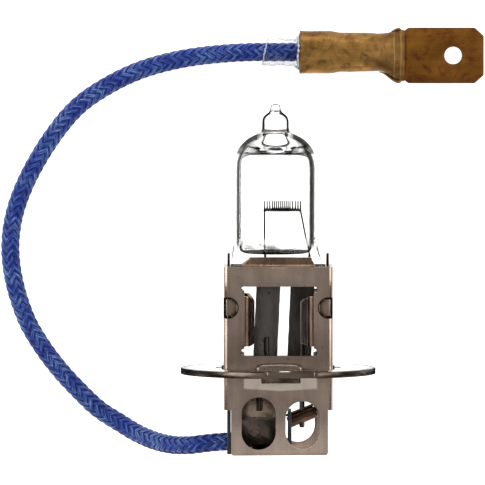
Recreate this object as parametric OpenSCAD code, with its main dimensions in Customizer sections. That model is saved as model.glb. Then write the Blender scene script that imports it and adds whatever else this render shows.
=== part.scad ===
// Halogen headlight bulb with a 22 mm locating flange, a sheet-metal base and a short flying lead.
// Frame: origin at the centre of the flange's glass-side face, +Y along the bulb towards the glass tip,
// +Z out of the front plate. The bulb lies on the surface z = -flange_d / 2, as do the lead and its tab.

/* [Glass] */
// Outside diameter of the quartz capsule
glass_d = 9.1; // [8.6:0.1:9.4]
// Wall thickness of the capsule
glass_wall = 0.8; // [0.6:0.1:1.2]
// Height of the exhaust tip above the flange
glass_top = 29.7; // [29.2:0.1:31]
// Width of the flat pinch
pinch_w = 10.3; // [9.8:0.1:10.3]
// Thickness of the flat pinch
pinch_t = 2.9; // [2.6:0.1:2.9]

/* [Filament] */
// Height of the filament above the flange
filament_y = 18.2; // [17.5:0.1:19]
// Length of the coil
filament_len = 4; // [3.4:0.1:4.4]
// Outside diameter of the coil
filament_d = 1.2; // [1:0.1:1.4]
// Number of turns in the coil
filament_turns = 14; // [10:1:16]

/* [Base shells] */
// Width of the base
base_w = 12.3; // [12.1:0.1:12.5]
// Depth of the base, front plate to rear plate
base_d = 8.6; // [8.2:0.1:9]
// Sheet thickness of the shells
sheet = 0.4; // [0.35:0.05:0.45]
// Top edge of the plates above the flange
base_top = 11.5; // [11.2:0.1:12]
// Bottom edge of the plates below the flange
base_bottom = 9.7; // [9.6:0.1:10.5]
// Depth below the flange at which the side walls end
wall_end = 4.6; // [4:0.1:4.8]
// Width of the windows in the plates
window_w = 7.8; // [7.4:0.1:8]
// Height of the windows in the plates
window_h = 7.8; // [7.4:0.1:8]

/* [Flange] */
// Diameter of the locating flange
flange_d = 22; // [21.8:0.05:22]
// Thickness of the locating flange
flange_t = 0.7; // [0.6:0.05:0.8]
// Width of the keying notch
notch_w = 5.7; // [4:0.1:6]
// Depth of the keying notch
notch_depth = 1.5; // [1:0.1:2]

/* [Lead] */
// Diameter of the braided lead
cable_d = 2.2; // [2:0.1:2.2]
// Width of the tab blade
blade_w = 6.3; // [6.1:0.1:6.4]
// Thickness of the tab blade
blade_t = 0.8; // [0.7:0.05:0.85]
// Diameter of the detent hole in the blade
detent_d = 2; // [1.6:0.1:2.2]

/* [Hidden] */
$fn = 48;

gap = 0.02;                       // clearance between nested pieces
floor_z = -flange_d / 2;          // the surface that everything lies on
glass_x = -0.3;                   // the capsule sits this far off the flange's axis
glass_r = glass_d / 2;
cavity_r = glass_r - glass_wall;
cavity_y = [12.9, 24.5];          // floor and roof of the gas space
dome_y = 23.6;                    // where the straight wall turns into the dome
dome_h = 3.05;
tip_r = 1.5;
pinch_y = [0.9, 13.6];            // the pinch runs up into the capsule
filament_x = 0.5;
wire_d = 0.16;                    // tungsten wire of the coil
leg_d = 0.3;                      // legs that hold the coil
leg_foot = [[-1.5, 10.6, 0], [3.5, 10.6, 0]];
foil_x = [-1.1, 2.8];             // centres of the two sealing foils
foil_w = 2.7;
foil_y = [1.15, 11.2];
foil_t = 0.1;
lead_d = 0.6;                     // outer lead wires
lead_left = [[-1.3, 3.4, 0], [-1.3, 2, 0], [-1.3, 0.8, 0], [-2.1, -1.6, 0], [-2.1, -3, 0], [-2.1, -5.2, 0]];
lead_right = [[2.7, 3.4, 0], [2.7, -6.8, 0]];
inner_w = base_w - 2 * sheet - 2 * gap;   // the rear shell nests in the front shell
half_d = base_d / 2;
plate_in = half_d - sheet;        // inner face of each plate
rear_wall_top = 3.35;             // the rear shell's walls stop short of the front plate
tongue_x = [-5.3, 5.6];           // the plates' narrower part below the side walls
window_y = 5.4;                   // centre of the windows
hole_w = 3.85;                    // width of the two oval holes below the flange
hole_left = [-2.2, -6.1, 5.9];    // x, y and height of each oval hole
hole_right = [2.75, -6.3, 5.4];
moon = [5.74, 6.9, 1.22];         // half-round cut-outs on the bends: x, y, radius
bridge_x = [-2.3, 2.7];           // raised bridge that stops the flange
bridge_y = [-0.4, 0.8];
bridge_h = 0.7;
clip_w = inner_w - 2 * sheet - 2 * gap;   // the pinch clips nest in the rear shell
clip_z = 3.4;
clip_y = [4.6, 9.4];
liner_y = [-9.6, -4.9];
cable_r = cable_d / 2;
exit_y = -8.4;                    // height of the lead where it enters the base
strap_z = 1.2;                    // the live terminal lies just over the lead
tab_y = 35;                       // centre line of the tab blade
barrel_y = 35.4;                  // centre line of the crimp barrels and of the lead's end
barrel_z = floor_z + 1.9;
blade_x = [14.2, 23.5];

// Centre line of the lead: out of the base, down to the surface, round to the tab
route = [[-3.4, -8.4, 0], [-5.8, -8.4, 0], [-8, -8.6, -0.3], [-10, -8.9, -1.4], [-12, -9, -3.5],
    [-14, -8.7, -6], [-16, -8, -8.2], [-18, -6.9, -9.6], [-20.5, -5.3, -9.9], [-23, -2.9, -9.9],
    [-25, -0.7, -9.9], [-27, 2, -9.9], [-28.7, 5, -9.9], [-30, 9, -9.9], [-30.5, 13, -9.9],
    [-30, 17, -9.9], [-28.5, 21, -9.9], [-26, 25.3, -9.9], [-23, 29, -9.9], [-19.5, 31.5, -9.9],
    [-15.5, 33.4, -9.9], [-11, 34.6, -9.9], [-6.5, 35.2, -9.7], [-3, 35.4, -9.3], [0, 35.4, -9.1],
    [4.6, 35.4, -9.1]];

function unit(v) = v / norm(v);

function curve_point(a, b, c, d, t) =
    0.5 * (2 * b + (c - a) * t + (2 * a - 5 * b + 4 * c - d) * t * t + (3 * b - a - 3 * c + d) * t * t * t);

// Smooth curve through the points, with n steps between neighbours
function curve(p, n) = [
    for (i = [0 : len(p) - 2]) for (j = [0 : n - 1])
        curve_point(p[max(i - 1, 0)], p[i], p[i + 1], p[min(i + 2, len(p) - 1)], j / n),
    p[len(p) - 1]];

function ring(path, i, r, sides, up) =
    let (t = unit(path[min(i + 1, len(path) - 1)] - path[max(i - 1, 0)]),
         a = unit(cross(t, up)), b = cross(t, a))
    [for (k = [0 : sides - 1]) path[i] + r * (cos(360 * k / sides) * a + sin(360 * k / sides) * b)];

// Closed tube of radius r swept along a path
module swept(path, r, sides, up) {
    n = len(path);
    points = [for (i = [0 : n - 1]) each ring(path, i, r, sides, up)];
    sides_faces = [for (i = [0 : n - 2]) for (k = [0 : sides - 1])
        let (a = i * sides + k, b = i * sides + (k + 1) % sides) each [[a, a + sides, b], [b, a + sides, b + sides]]];
    caps = [[for (k = [0 : sides - 1]) k], [for (k = [sides - 1 : -1 : 0]) (n - 1) * sides + k]];
    polyhedron(points, concat(sides_faces, caps));
}

// Round wire bent smoothly through the points
module wire(points, d) {
    swept(curve(points, 3), d / 2, 12, [0, 0, 1]);
}

module rounded(w, h, r) {
    square([w - 2 * r, h], center = true);
    square([w, h - 2 * r], center = true);
    for (x = [-1, 1], y = [-1, 1]) translate([x * (w / 2 - r), y * (h / 2 - r)]) circle(r);
}

// Extrudes a cross-section drawn in X and Z along Y
module along_y(from, to) {
    translate([0, to, 0]) rotate([90, 0, 0]) linear_extrude(to - from) children();
}

// Extrudes a cross-section drawn in Y and Z along X
module along_x(from, to) {
    translate([from, 0, 0]) rotate([90, 0, 90]) linear_extrude(to - from) children();
}

// Turns a profile of radius and height about the capsule's axis
module turned() {
    translate([glass_x, 0, 0]) rotate([-90, 0, 0]) rotate_extrude($fn = 96) children();
}

function dome(r0, r1, y0, h) = [for (a = [0 : 10 : 80]) [r0 + (r1 - r0) * cos(a), y0 + h * sin(a)]];

module capsule_profile() {
    base_arc = [for (a = [-60 : 15 : 0]) [2.2 + (glass_r - 2.2) * cos(a), 14.6 + 2.6 * sin(a)]];
    tip = [[tip_r + 0.15, 26.75], [tip_r, 27.2], [tip_r, 27.9], [1.2, 28.5], [0.65, 29.1],
        [0.55, glass_top - 0.1], [0.3, glass_top], [0, glass_top]];
    polygon(concat([[0, base_arc[0].y]], base_arc, dome(0.9, glass_r, dome_y, dome_h), tip));
}

module cavity_profile() {
    y0 = cavity_y[0];
    polygon(concat([[0, y0], [cavity_r - 0.7, y0], [cavity_r - 0.2, y0 + 0.25], [cavity_r, y0 + 0.9]],
        dome(0.4, cavity_r, dome_y - 1.2, cavity_y[1] - dome_y + 1.2), [[0, cavity_y[1]]]));
}

function coil_point(a) = [filament_x - filament_len / 2 + filament_len * a / (360 * filament_turns),
    filament_y - (filament_d - wire_d) / 2 * cos(a), (filament_d - wire_d) / 2 * sin(a)];

function leg_path(side) =
    let (end = coil_point(side < 0 ? 0 : 360 * filament_turns), foot = leg_foot[side < 0 ? 0 : 1])
    [foot, [foot.x, 11.8, 0], [foot.x, 12.9, 0], [foot.x - 0.2, 14, 0], [end.x + side * 0.15, filament_y - 1.6, 0],
     [end.x, filament_y - filament_d / 2, 0]];

module foil_shape(x, grow = 0) {
    translate([x, (foil_y[0] + foil_y[1]) / 2, 0])
        cube([foil_w + 2 * grow, foil_y[1] - foil_y[0] + 2 * grow, foil_t + 2 * grow], center = true);
}

module glass_envelope() {
    color([0.93, 0.96, 0.98, 0.35]) difference() {
        union() {
            turned() capsule_profile();
            along_y(pinch_y[0], pinch_y[1]) rounded(pinch_w, pinch_t, 0.6);
        }
        turned() cavity_profile();
        for (x = foil_x) foil_shape(x, gap);
        for (side = [-1, 1]) wire(leg_path(side), leg_d + 2 * gap);
        wire(lead_left, lead_d + 2 * gap);
        wire(lead_right, lead_d + 2 * gap);
    }
}

module filament() {
    color("dimgray") swept([for (i = [0 : 10 * filament_turns]) coil_point(36 * i)], wire_d / 2, 5, [1, 0, 0]);
}

// A sealing foil, cut back round the leg and the lead wire that are welded to it
module foil(x, leg, lead) {
    color("slategray") difference() {
        foil_shape(x);
        translate([leg.x - leg_d / 2, leg.y, -1]) cube([leg_d, 2, 2]);
        translate([lead.x - lead_d / 2 - 0.1, foil_y[0] - 0.5, -1])
            cube([lead_d + 0.2, lead.y - foil_y[0] + 0.5, 2]);
    }
}

module foil_left() {
    foil(foil_x[0], leg_foot[0], lead_left[0]);
}

module foil_right() {
    foil(foil_x[1], leg_foot[1], lead_right[0]);
}

// A channel folded from sheet: a plate at the front and a wall down each side
module channel(w, wall_to) {
    difference() {
        translate([0, half_d - base_d]) rounded(w, 2 * base_d, 0.55);
        translate([0, half_d - base_d - sheet]) rounded(w - 2 * sheet, 2 * base_d, 0.2);
        translate([-base_w, -2 * base_w + wall_to]) square([2 * base_w, 2 * base_w]);
    }
}

module oval(w, h) {
    square([w, h - w], center = true);
    for (y = [-1, 1]) translate([0, y * (h - w) / 2]) circle(w / 2);
}

// Everything that is cut through the plates; the oval holes can be shifted
module plate_openings(shift = [0, 0]) {
    linear_extrude(2 * base_d, center = true) {
        translate([0.1, window_y]) square([window_w, window_h], center = true);
        for (x = [-1, 1], y = [-1, 1]) translate([0.1 + x * window_w / 2, window_y + y * (window_h / 2 - 0.4)])
            circle(0.38);
        translate([hole_left[0], hole_left[1]] + shift) oval(hole_w, hole_left[2]);
        translate([hole_right[0], hole_right[1]] + shift) oval(hole_w, hole_right[2]);
        if (shift.x == 0) translate([bridge_x[0] + 0.4, -1.6]) square([4.4, 0.9]);
    }
}

// A flap of sheet that leaves the plate at one point of the X-Z section and ends at another
module leaning(from, to, t) {
    v = to - from;
    translate(from) rotate(atan2(v.y, v.x)) translate([0, -t / 2]) square([norm(v), t]);
}

// The flaps that lean in from the window's sides and from the top edge, to hold the pinch
module plate_flaps() {
    x = window_w / 2;
    for (side = [-1, 1]) along_y(window_y - 2.7, window_y + 2.9)
        leaning([0.1 + side * x, half_d - 0.2], [0.1 + side * (x - 0.95), pinch_t / 2 + 0.25], 0.35);
    rotate([90, 0, 90]) translate([0, 0, -3.4]) linear_extrude(6.8)
        leaning([base_top - 0.1, half_d - 0.2], [base_top + 0.75, pinch_t / 2 + 0.25], 0.35);
}

module bridge() {
    translate([bridge_x[0], bridge_y[0], half_d - 0.1]) difference() {
        cube([bridge_x[1] - bridge_x[0], bridge_y[1] - bridge_y[0], bridge_h + 0.1]);
        translate([0.4, -1, -1]) cube([bridge_x[1] - bridge_x[0] - 0.8, bridge_y[1] - bridge_y[0] + 0.65, 1.45]);
    }
}

module tongue() {
    translate([tongue_x[0], -base_bottom, plate_in])
        cube([tongue_x[1] - tongue_x[0], base_bottom - wall_end + 0.1, sheet]);
}

module front_shell() {
    color([0.58, 0.53, 0.48]) union() {
        difference() {
            union() {
                along_y(-wall_end, base_top) channel(base_w, -half_d);
                tongue();
            }
            plate_openings();
            for (side = [-1, 1]) translate([side * moon[0], moon[1], 2.8]) cylinder(r = moon[2], h = 3);
        }
        plate_flaps();
        bridge();
    }
}

module rear_shell() {
    color([0.62, 0.57, 0.51]) mirror([0, 0, 1]) union() {
        difference() {
            union() {
                along_y(-wall_end, base_top) channel(inner_w, -rear_wall_top);
                tongue();
            }
            plate_openings([-0.35, 0.15]);
            translate([0.1 - window_w / 2, window_y - window_h / 2 - 0.4, plate_in - 1]) cube([window_w, 1, 3]);
        }
        plate_flaps();
        bridge();
        for (side = [-1, 1]) translate([side * (inner_w / 2 - 0.15) - 0.15, base_top - 0.5, -1.2])
            cube([0.3, 1.9, 2.4]);
    }
}

// Spring clip between the rear shell's wall and the pinch: its two ends press on the pinch's faces
module clip_profile() {
    x = clip_w / 2;
    for (z = [-1, 1]) {
        translate([-x, z > 0 ? clip_z - 0.3 : -clip_z]) square([1.3, 0.3]);
        translate([-x + 1, z > 0 ? pinch_t / 2 + gap : -clip_z]) square([0.3, clip_z - pinch_t / 2 - gap]);
    }
    translate([-x, -clip_z]) square([0.15, 2 * clip_z]);
}

module pinch_clip_left() {
    color("tan") along_y(clip_y[0], clip_y[1]) clip_profile();
}

module pinch_clip_right() {
    color("tan") mirror([1, 0, 0]) along_y(clip_y[0], clip_y[1]) clip_profile();
}

module flange_ring() {
    open_w = base_w + 0.24;
    open_d = base_d + 0.24;
    bridge_mid = (bridge_x[0] + bridge_x[1]) / 2;
    color([0.72, 0.66, 0.58]) along_y(-flange_t, 0) difference() {
        circle(d = flange_d, $fn = 128);
        rounded(open_w, open_d, 0.3);
        translate([bridge_mid, 0]) square([bridge_x[1] - bridge_x[0] + 0.3, open_d + 2 * bridge_h], center = true);
        translate([-open_w / 2 - 0.7, -0.9]) square([2, 1.8]);
        translate([open_w / 2 - 1.7, -0.9]) square([2, 1.8]);
        translate([1.4 - notch_w / 2, flange_d / 2 - notch_depth]) square([notch_w, 3]);
    }
}

// Insulating trough round the live terminal, with a hole that the lead comes in by
module insulator_liner() {
    z = plate_in - 0.05;
    color([0.13, 0.14, 0.16]) difference() {
        translate([-5.75, liner_y[0], -z]) cube([7.25, liner_y[1] - liner_y[0], 2 * z]);
        translate([-5.35, liner_y[0] + 0.4, -z - 1]) cube([6.45, 10, 2 * z + 2]);
        translate([-6.5, exit_y, 0]) rotate([0, 90, 0]) cylinder(d = cable_d + 0.1, h = 2);
    }
}

// Stamped strap with a slot for the lead wire and a crimp round the stranded conductor
module live_terminal() {
    color([0.45, 0.42, 0.4]) {
        difference() {
            union() {
                translate([-4.6, -5.6, lead_d / 2 + gap]) cube([4.6, 2.3, 0.3]);
                translate([-4.6, -5.9, lead_d / 2 + gap]) cube([4.6, 0.3, strap_z - lead_d / 2 + 0.3]);
                translate([-4.6, -8.6, strap_z]) cube([4.6, 3, 0.3]);
                translate([-2.7, -7.4, strap_z + 0.3]) cylinder(d = 0.8, h = 0.1);
            }
            translate([lead_left[3].x - 0.35, -4.9, -1]) cube([0.7, 3, 2]);
        }
        difference() {
            union() {
                translate([-2.9, exit_y, 0]) rotate([0, 90, 0]) cylinder(r = 0.85, h = 1.9);
                translate([-2.9, exit_y - 0.2, 0.6]) cube([1.9, 0.4, strap_z - 0.5]);
            }
            translate([-3, exit_y, 0]) rotate([0, 90, 0]) cylinder(r = 0.52, h = 3);
        }
    }
}

// Rolled strip round the right-hand lead wire, with a tail that is welded to the shell's wall
module ground_strip() {
    color([0.45, 0.34, 0.28]) {
        difference() {
            translate([2.7, -5.5, 0]) rotate([0, 0, 22]) along_x(-1.4, 1.4) difference() {
                rounded(1.6, 1.3, 0.6);
                rounded(1.1, 0.7, 0.34);
            }
            translate([lead_right[0].x, -8, 0]) rotate([-90, 0, 0]) cylinder(d = lead_d + 2 * gap, h = 5);
        }
        translate([3.7, -5.3, -0.65]) rotate([0, 0, 32]) cube([1.7, 0.6, 0.3]);
        translate([clip_w / 2 - 0.3, -4.6, -1]) cube([0.3, 2.4, 2]);
    }
}

module conductor_end_base() {
    color("peru") translate([route[0].x, exit_y, 0]) rotate([0, 90, 0]) cylinder(d = 1, h = 2.7);
}

module conductor_end_tab() {
    color("peru") translate([route[len(route) - 1].x, barrel_y, barrel_z]) rotate([0, 90, 0])
        cylinder(d = 1.3, h = 4.6);
}

module cable() {
    color("royalblue") swept(curve(route, 2), cable_r, 8, [0, 0, 1]);
}

module clear_sleeve() {
    color([0.9, 0.92, 0.95, 0.5]) translate([-1.6, barrel_y, barrel_z]) rotate([0, 90, 0]) difference() {
        cylinder(d = 3.1, h = 5.9);
        translate([0, 0, -1]) cylinder(d = cable_d + 0.2, h = 8);
    }
}

// A crimp barrel closed round the lead: a folded tube of the given outside width and height
module barrel(from, to, w, h) {
    translate([0, barrel_y, floor_z + h / 2]) along_x(from, to) difference() {
        rounded(w, h, h / 2 - 0.01);
        rounded(w - 0.7, h - 0.7, h / 2 - 0.36);
    }
}

module blade_outline() {
    w = blade_w / 2;
    polygon([[0, -w + 0.7], [0.7, -w], [8.2, -w], [9.3, -w + 0.9], [9.3, w - 0.9], [8.2, w], [0.7, w], [0, w - 0.7]]);
}

module tab_terminal() {
    color([0.66, 0.5, 0.26]) {
        barrel(2.5, 6.7, 4.6, 3.84);
        barrel(6.7, 11.9, 4.25, 3.5);
        translate([0, 0, floor_z]) linear_extrude(0.4)
            polygon([[11.6, barrel_y - 1.9], [blade_x[0] + 0.3, tab_y - 2.7], [blade_x[0] + 0.3, tab_y + 2.7],
                [11.6, barrel_y + 1.9]]);
        for (side = [-1, 1]) translate([11.6, barrel_y + side * 2 - 0.175, floor_z]) cube([1.8, 0.35, 1.6]);
        translate([blade_x[0], tab_y, floor_z]) difference() {
            linear_extrude(blade_t) blade_outline();
            translate([5.8, 0, -1]) cylinder(d = detent_d, h = 3);
        }
    }
}

glass_envelope();
filament();
color("gray") wire(leg_path(-1), leg_d);  // filament_leg_left
color("gray") wire(leg_path(1), leg_d);  // filament_leg_right
foil_left();
foil_right();
color("dimgray") wire(lead_left, lead_d);  // lead_wire_left
color("dimgray") wire(lead_right, lead_d);  // lead_wire_right
front_shell();
rear_shell();
pinch_clip_left();
pinch_clip_right();
flange_ring();
insulator_liner();
live_terminal();
ground_strip();
conductor_end_base();
cable();
clear_sleeve();
tab_terminal();
conductor_end_tab();
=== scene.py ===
"""Looks of the headlight bulb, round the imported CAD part. Lengths are millimetres until a mesh is made."""

import math

import bmesh
import bpy
from mathutils import Matrix, Vector, noise


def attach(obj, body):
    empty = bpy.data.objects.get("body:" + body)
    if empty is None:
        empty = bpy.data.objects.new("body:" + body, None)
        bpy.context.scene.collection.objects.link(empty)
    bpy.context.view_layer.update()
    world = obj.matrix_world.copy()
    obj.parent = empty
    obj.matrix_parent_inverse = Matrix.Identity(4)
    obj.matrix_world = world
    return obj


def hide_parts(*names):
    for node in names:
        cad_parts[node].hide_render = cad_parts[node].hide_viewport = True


MM = 0.001
FLOOR_Z = -11.0
GLASS_X = -0.3                    # the capsule sits this far off the flange's axis

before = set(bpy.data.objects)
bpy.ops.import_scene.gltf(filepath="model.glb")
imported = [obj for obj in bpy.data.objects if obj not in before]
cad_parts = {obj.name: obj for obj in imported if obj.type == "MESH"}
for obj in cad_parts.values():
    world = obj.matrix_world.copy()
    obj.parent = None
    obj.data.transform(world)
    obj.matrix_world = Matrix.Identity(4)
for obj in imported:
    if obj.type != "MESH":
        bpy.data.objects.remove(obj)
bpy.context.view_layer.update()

ROUTE = [
    (-3.4, -8.4, 0), (-5.8, -8.4, 0), (-8, -8.6, -0.3), (-10, -8.9, -1.4), (-12, -9, -3.5),
    (-14, -8.7, -6), (-16, -8, -8.2), (-18, -6.9, -9.6), (-20.5, -5.3, -9.9), (-23, -2.9, -9.9),
    (-25, -0.7, -9.9), (-27, 2, -9.9), (-28.7, 5, -9.9), (-30, 9, -9.9), (-30.5, 13, -9.9),
    (-30, 17, -9.9), (-28.5, 21, -9.9), (-26, 25.3, -9.9), (-23, 29, -9.9), (-19.5, 31.5, -9.9),
    (-15.5, 33.4, -9.9), (-11, 34.6, -9.9), (-6.5, 35.2, -9.7), (-3, 35.4, -9.3), (0, 35.4, -9.1),
    (4.6, 35.4, -9.1),
]
LEAD_END = (35.4, -9.1)           # y and z of the lead where it goes into the tab


# ---------------------------------------------------------------- meshes

def linked(name, data):
    """An object in the scene for this mesh, camera or light."""
    item = bpy.data.objects.new(name, data)
    bpy.context.scene.collection.objects.link(item)
    return item


def new_piece(name, skin, smooth, materials, face_mats=None):
    """A mesh object from points in millimetres and faces, smooth except at edges sharper than the angle."""
    points, faces = skin
    mesh = bpy.data.meshes.new(name)
    mesh.from_pydata([[c * MM for c in p] for p in points], [], faces)
    for material in materials:
        mesh.materials.append(material)
    if face_mats:
        mesh.polygons.foreach_set("material_index", face_mats)
    piece = linked(name, mesh)
    set_smooth(mesh, smooth)
    return piece


def set_smooth(mesh, angle):
    mesh.polygons.foreach_set("use_smooth", [True] * len(mesh.polygons))
    if angle < 180:
        mesh.set_sharp_from_angle(angle=math.radians(angle))


def placed(piece, node):
    """The piece rides on the part and stands for this node."""
    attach(piece, "root")
    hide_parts(node)
    return piece


def applied(piece):
    """The piece with its modifiers applied."""
    bpy.context.view_layer.update()
    evaluated = piece.evaluated_get(bpy.context.evaluated_depsgraph_get())
    mesh = bpy.data.meshes.new_from_object(evaluated)
    piece.modifiers.clear()
    piece.data = mesh
    return piece


def loft(rings):
    """Points and faces of a closed skin through rings that all have the same number of points."""
    n = len(rings[0])
    points = [p for ring in rings for p in ring]
    faces = []
    for i in range(len(rings) - 1):
        for k in range(n):
            a = i * n + k
            b = i * n + (k + 1) % n
            faces.append((a, b, b + n, a + n))
    last = (len(rings) - 1) * n
    faces.append(tuple(range(n - 1, -1, -1)))
    faces.append(tuple(range(last, last + n)))
    return points, faces


def flipped(skin):
    """The same skin, facing the other way."""
    return skin[0], [tuple(reversed(face)) for face in skin[1]]


def mirrored(skin):
    """The skin on the other side of the bulb's middle plane."""
    return flipped(([(x, y, -z) for x, y, z in skin[0]], skin[1]))


def merged(skins):
    """Several skins as one."""
    points, faces = [], []
    for more_points, more_faces in skins:
        start = len(points)
        points.extend(more_points)
        faces.extend(tuple(i + start for i in face) for face in more_faces)
    return points, faces


def smoothstep(t):
    t = min(1.0, max(0.0, t))
    return t * t * (3 - 2 * t)


def lumps(*place):
    """Smooth noise at a place."""
    return noise.noise(Vector(place))


def catmull(points, steps):
    """Smooth curve through the points."""
    out = []
    last = len(points) - 1
    for i in range(last):
        a, b = Vector(points[max(i - 1, 0)]), Vector(points[i])
        c, d = Vector(points[i + 1]), Vector(points[min(i + 2, last)])
        for j in range(steps):
            t = j / steps
            p = 2 * b + (c - a) * t + (2 * a - 5 * b + 4 * c - d) * t * t
            out.append(0.5 * (p + (3 * b - a - 3 * c + d) * t ** 3))
    out.append(Vector(points[last]))
    return out


def frames_along(path, up=(0, 0, 1)):
    """Place, tangent, normal and binormal of each point, turned as little as possible along the way."""
    frames = []
    normal = None
    for i, p in enumerate(path):
        tangent = (path[min(i + 1, len(path) - 1)] - path[max(i - 1, 0)]).normalized()
        if normal is None:
            normal = Vector(up).cross(tangent).normalized()
        normal = (normal - tangent * normal.dot(tangent)).normalized()
        frames.append((p, tangent, normal, tangent.cross(normal)))
    return frames


def resampled(path, step):
    """The path with its points the same distance apart, and that path's length."""
    lengths = [0.0]
    for a, b in zip(path, path[1:]):
        lengths.append(lengths[-1] + (b - a).length)
    count = max(2, round(lengths[-1] / step))
    out = []
    k = 0
    for i in range(count + 1):
        s = lengths[-1] * i / count
        while k < len(path) - 2 and lengths[k + 1] < s:
            k += 1
        t = (s - lengths[k]) / max(1e-9, lengths[k + 1] - lengths[k])
        out.append(path[k].lerp(path[k + 1], min(1.0, t)))
    return out, lengths[-1]


def tube(path, radius, sides, up=(0, 0, 1)):
    """A round skin along a path; radius is a number or a function of the share of the way along."""
    rings = []
    for i, (p, _, n, b) in enumerate(frames_along(path, up)):
        r = radius(i / (len(path) - 1)) if callable(radius) else radius
        rings.append([p + n * c + b * s for c, s in circle(0, 0, r, sides)])
    return loft(rings)


def thick_sheet(surface, nu, nv, thickness):
    """The skin of a bent sheet; surface(u, v) is its middle, with u and v from 0 to 1."""
    grid = [[Vector(surface(i / nu, j / nv)) for j in range(nv + 1)] for i in range(nu + 1)]
    row = nv + 1
    total = (nu + 1) * row
    points = []
    for side in (0.5, -0.5):
        for i in range(nu + 1):
            for j in range(row):
                du = grid[min(i + 1, nu)][j] - grid[max(i - 1, 0)][j]
                dv = grid[i][min(j + 1, nv)] - grid[i][max(j - 1, 0)]
                points.append(grid[i][j] + du.cross(dv).normalized() * (thickness * side))
    faces = []
    for i in range(nu):
        for j in range(nv):
            a = i * row + j
            faces.append((a, a + row, a + row + 1, a + 1))
            faces.append((total + a + 1, total + a + row + 1, total + a + row, total + a))
    rim = [i * row for i in range(nu + 1)] + [nu * row + j for j in range(1, row)]
    rim += [i * row + nv for i in range(nu - 1, -1, -1)] + list(range(nv - 1, 0, -1))
    for k, a in enumerate(rim):
        b = rim[(k + 1) % len(rim)]
        faces.append((b, a, total + a, total + b))
    return points, faces


def arc(x, y, radius, start, end, steps):
    """Points along a circle from one angle to another, in degrees."""
    angles = [math.radians(start + (end - start) * k / steps) for k in range(steps + 1)]
    return [(x + radius * math.cos(a), y + radius * math.sin(a)) for a in angles]


def circle(x, y, radius, sides):
    return arc(x, y, radius, 0, 360, sides)[:-1]


def superellipse(a, b, power, count):
    """Points of a rounded outline, evenly spread in angle."""
    out = []
    for k in range(count):
        angle = 2 * math.pi * (k + 0.5) / count
        c, s = math.cos(angle), math.sin(angle)
        radius = (abs(c / a) ** power + abs(s / b) ** power) ** (-1 / power)
        out.append((radius * c, radius * s))
    return out


def prism(outline, low, high, axis="Z"):
    """A temporary solid in millimetres with this outline, between two places along Z or Y."""
    n = len(outline)
    points = [(u, h, v) if axis == "Y" else (u, v, h) for h in (low, high) for u, v in outline]
    faces = [tuple(range(n)), tuple(range(n, 2 * n))]
    faces += [(k, (k + 1) % n, n + (k + 1) % n, n + k) for k in range(n)]
    mesh = bpy.data.meshes.new("solid")
    mesh.from_pydata(points, [], faces)
    bm = bmesh.new()
    bm.from_mesh(mesh)
    bmesh.ops.recalc_face_normals(bm, faces=bm.faces)
    bm.to_mesh(mesh)
    bm.free()
    return linked("solid", mesh)


def block(x0, x1, y0, y1, low, high, axis="Z"):
    return prism([(x0, y0), (x1, y0), (x1, y1), (x0, y1)], low, high, axis)


def disc(x, y, radius, z0, z1):
    return prism(circle(x, y, radius, 40), z0, z1)


def oval(x, y, width, height, z0, z1):
    """An upright slot with round ends."""
    radius = width / 2
    reach = (height - width) / 2
    return prism(arc(x, y + reach, radius, 0, 180, 24) + arc(x, y - reach, radius, 180, 360, 24), z0, z1)


def combined(base, others, operation):
    """The base with each of the others joined to it or cut from it."""
    for other in others:
        step = base.modifiers.new("step", "BOOLEAN")
        step.operation = operation
        step.solver = "EXACT"
        step.object = other
        applied(base)
        bpy.data.objects.remove(other)
    return base


def cleaned(mesh, body, edge, doubles, flat, scale=1.0, mirror=False):
    """Joins double points and flat faces, and gives the mesh its two materials."""
    mesh.materials.clear()
    mesh.materials.append(body)
    mesh.materials.append(edge)
    mesh.polygons.foreach_set("material_index", [0] * len(mesh.polygons))
    bm = bmesh.new()
    bm.from_mesh(mesh)
    bmesh.ops.remove_doubles(bm, verts=bm.verts, dist=doubles)
    bmesh.ops.dissolve_limit(bm, angle_limit=math.radians(flat), verts=bm.verts, edges=bm.edges)
    if mirror:
        bmesh.ops.transform(bm, matrix=Matrix.Scale(-1, 4, (0, 0, 1)), verts=bm.verts)
        bmesh.ops.reverse_faces(bm, faces=bm.faces)
    bmesh.ops.transform(bm, matrix=Matrix.Scale(scale, 4), verts=bm.verts)
    bm.to_mesh(mesh)
    bm.free()


def bevelled(piece, width, sharp=32.0, smooth=35.0):
    """Rounds the edges sharper than an angle; the rounding has the second material."""
    bevel = piece.modifiers.new("bevel", "BEVEL")
    bevel.width = width * MM
    bevel.segments = 2
    bevel.limit_method = "ANGLE"
    bevel.angle_limit = math.radians(sharp)
    bevel.material = 1
    applied(piece)
    set_smooth(piece.data, smooth)
    return piece


def soften_rims(piece, width):
    """Rounds only the cut edges of a bent sheet."""
    return bevelled(piece, width, 60, 40)


def finished(solid, name, width, body, edge, mirror=False):
    """A temporary solid made into a piece: rounded edges, metres and materials."""
    solid.name = name
    solid.data.name = name
    cleaned(solid.data, body, edge, 0.0005, 0.5, MM, mirror)
    return bevelled(solid, width)


def softened(name, node, width, body, edge):
    """A copy of a CAD piece with clean faces, whose edges are rounded and take the second material."""
    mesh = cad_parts[node].data.copy()
    mesh.name = name
    piece = linked(name, mesh)
    cleaned(mesh, body, edge, 1e-6, 0.6)
    return bevelled(piece, width)


def joined(pieces, name):
    """Several pieces as one object."""
    bpy.ops.object.select_all(action="DESELECT")
    for piece in pieces:
        piece.select_set(True)
    bpy.context.view_layer.objects.active = pieces[0]
    bpy.ops.object.join()
    pieces[0].name = name
    pieces[0].data.name = name
    return pieces[0]


# ---------------------------------------------------------------- material nodes

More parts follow.
